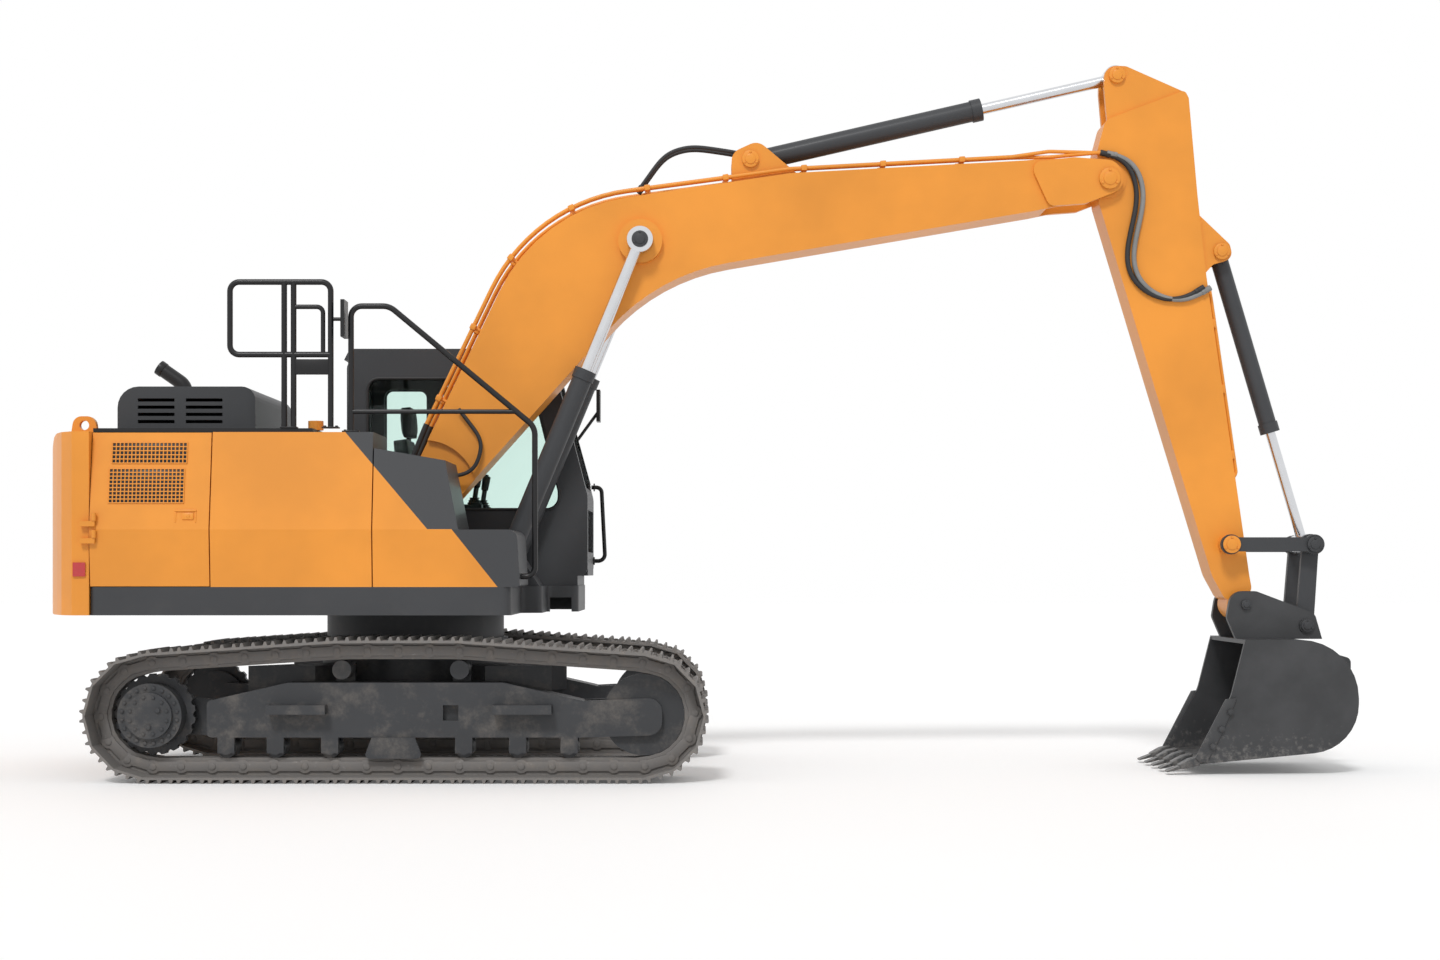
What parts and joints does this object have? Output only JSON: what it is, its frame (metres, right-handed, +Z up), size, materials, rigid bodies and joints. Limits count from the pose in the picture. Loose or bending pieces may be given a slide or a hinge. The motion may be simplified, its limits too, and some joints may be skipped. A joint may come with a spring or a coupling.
{
  "type": "crawler excavator",
  "caption": "Crawler excavator with a bent boom, arm and bucket, closed cab, engine bay and steel tracks, in orange and grey.",
  "frame": {"origin": "on the ground, under the middle of the whole machine as it stands in the picture", "axes": "+X forward along the boom, +Y to the cab's side (the machine's left), +Z up"},
  "size_m": [8.9142, 2.59, 4.8486],
  "materials": {
    "orange_paint": "satin paint",
    "grey_paint": "satin paint",
    "black_paint": "satin paint",
    "track_steel": "worn steel",
    "rod_chrome": "polished",
    "tinted_glass": "tinted green",
    "bucket_paint": "worn paint",
    "hose_rubber": "matt",
    "red_lens": "clear red",
    "seat_fabric": "woven"
  },
  "bodies": {
    "undercarriage": {"car_body": "grey_paint", "swing_bearing": "grey_paint", "track_frame_right": "grey_paint", "track_frame_left": "grey_paint", "track_right": "track_steel", "track_left": "track_steel", "sprockets": "grey_paint", "idlers": "grey_paint", "track_rollers": "grey_paint", "carrier_rollers": "grey_paint"},
    "house": {"main_frame": "grey_paint", "counterweight": "orange_paint", "engine_block": "grey_paint", "bulkheads": "grey_paint", "top_deck": "black_paint", "right_side_tank": "orange_paint", "right_front_box": "orange_paint", "left_side_box": "orange_paint", "exhaust_stack": "black_paint", "rear_rails": "black_paint", "front_handrail": "black_paint", "cab_rail": "black_paint", "mirrors": "black_paint", "tail_lamps": "red_lens", "cab_floor": "grey_paint", "cab_right_wall": "grey_paint", "cab_left_wall": "grey_paint", "cab_rear_wall": "grey_paint", "cab_front_frame": "grey_paint", "cab_roof": "grey_paint", "cab_glass": "tinted_glass", "operator_seat": "seat_fabric", "control_consoles": "grey_paint"},
    "boom": {"boom": "orange_paint", "boom_pipes": "orange_paint"},
    "arm": {"arm": "orange_paint", "arm_hoses": "hose_rubber"},
    "bucket": {"bucket": "bucket_paint"},
    "boom_cylinder_barrels": {"boom_cylinder_barrels": "grey_paint"},
    "boom_cylinder_rods": {"boom_cylinder_rods": "rod_chrome"},
    "arm_cylinder_barrel": {"arm_cylinder_barrel": "grey_paint"},
    "arm_cylinder_rod": {"arm_cylinder_rod": "rod_chrome"},
    "bucket_cylinder_barrel": {"bucket_cylinder_barrel": "grey_paint"},
    "bucket_cylinder_rod": {"bucket_cylinder_rod": "rod_chrome"},
    "guide_links": {"guide_links": "grey_paint"},
    "bucket_link": {"bucket_link": "grey_paint"},
    "cab_door": {"cab_door": "grey_paint", "cab_door_glass": "tinted_glass"},
    "right_rear_door": {"right_rear_door": "orange_paint"},
    "left_rear_door": {"left_rear_door": "orange_paint"},
    "engine_hood": {"engine_hood": "grey_paint"}
  },
  "joints": [
    {"name": "swing", "type": "hinge", "parent": "undercarriage", "child": "house", "pos_m": [-2.01892, 0, 1], "axis": [0, 0, 1], "continuous": true},
    {"name": "boom_lift", "type": "hinge", "parent": "house", "child": "boom", "pos_m": [-1.92892, -0.1, 1.9], "axis": [0, -1, 0], "range_deg": [-62, 36]},
    {"name": "arm_crowd", "type": "hinge", "parent": "boom", "child": "arm", "pos_m": [2.75456, -0.1, 4.04426], "axis": [0, 1, 0], "range_deg": [-65, 48]},
    {"name": "bucket_curl", "type": "hinge", "parent": "arm", "child": "bucket", "pos_m": [3.67709, -0.1, 1.13608], "axis": [0, 1, 0], "range_deg": [-80, 95]},
    {"name": "boom_barrel_tilt", "type": "hinge", "parent": "house", "child": "boom_cylinder_barrels", "pos_m": [-1.36892, -0.1, 1.4], "axis": [0, -1, 0], "range_deg": [-61.56, 35.74]},
    {"name": "boom_rod_slide", "type": "slide", "parent": "boom_cylinder_barrels", "child": "boom_cylinder_rods", "axis": [0.3832, 0, 0.9237], "range_m": [-0.661, 0.384]},
    {"name": "arm_barrel_tilt", "type": "hinge", "parent": "boom", "child": "arm_cylinder_barrel", "pos_m": [0.30435, -0.1, 4.19277], "axis": [0, -1, 0], "range_deg": [-2.37, 3.21]},
    {"name": "arm_rod_slide", "type": "slide", "parent": "arm_cylinder_barrel", "child": "arm_cylinder_rod", "axis": [0.9748, 0, 0.2233], "range_m": [-0.781, 0.576]},
    {"name": "guide_swing", "type": "hinge", "parent": "arm", "child": "guide_links", "pos_m": [3.56794, -0.1, 1.54628], "axis": [0, -1, 0], "range_deg": [-62.98, 53.04]},
    {"name": "link_swing", "type": "hinge", "parent": "bucket", "child": "bucket_link", "pos_m": [4.09209, -0.1, 0.99308], "axis": [0, -1, 0], "range_deg": [-49.78, 59.11]},
    {"name": "bucket_barrel_tilt", "type": "hinge", "parent": "arm", "child": "bucket_cylinder_barrel", "pos_m": [3.53813, -0.1, 3.55845], "axis": [0, -1, 0], "range_deg": [-4.84, 4.08]},
    {"name": "bucket_rod_slide", "type": "slide", "parent": "bucket_cylinder_barrel", "child": "bucket_cylinder_rod", "axis": [0.2835, 0, -0.959], "range_m": [-0.397, 0.471]},
    {"name": "cab_door_hinge", "type": "hinge", "parent": "house", "child": "cab_door", "pos_m": [-1.94692, 1.261, 1.5], "axis": [0, 0, 1], "range_deg": [0, 160]},
    {"name": "right_rear_door_hinge", "type": "hinge", "parent": "house", "child": "right_rear_door", "pos_m": [-3.93792, -1.259, 1.7], "axis": [0, 0, -1], "range_deg": [0, 110]},
    {"name": "left_rear_door_hinge", "type": "hinge", "parent": "house", "child": "left_rear_door", "pos_m": [-3.93792, 1.259, 1.7], "axis": [0, 0, 1], "range_deg": [0, 110]},
    {"name": "engine_hood_hinge", "type": "hinge", "parent": "house", "child": "engine_hood", "pos_m": [-2.99092, 0, 2.305], "axis": [0, 1, 0], "range_deg": [0, 65]}
  ],
  "couplings": [
    {"joint": "boom_barrel_tilt", "follows": "boom_lift", "ratio": 0.97344},
    {"joint": "boom_rod_slide", "follows": "boom_lift", "m_per_rad": 0.59911},
    {"joint": "arm_barrel_tilt", "follows": "arm_crowd", "ratio": -0.048437},
    {"joint": "arm_rod_slide", "follows": "arm_crowd", "m_per_rad": 0.67451},
    {"joint": "guide_swing", "follows": "bucket_curl", "ratio": -0.65},
    {"joint": "link_swing", "follows": "bucket_curl", "ratio": 0.61},
    {"joint": "bucket_barrel_tilt", "follows": "bucket_curl", "ratio": -0.05},
    {"joint": "bucket_rod_slide", "follows": "bucket_curl", "m_per_rad": 0.27856}
  ]
}
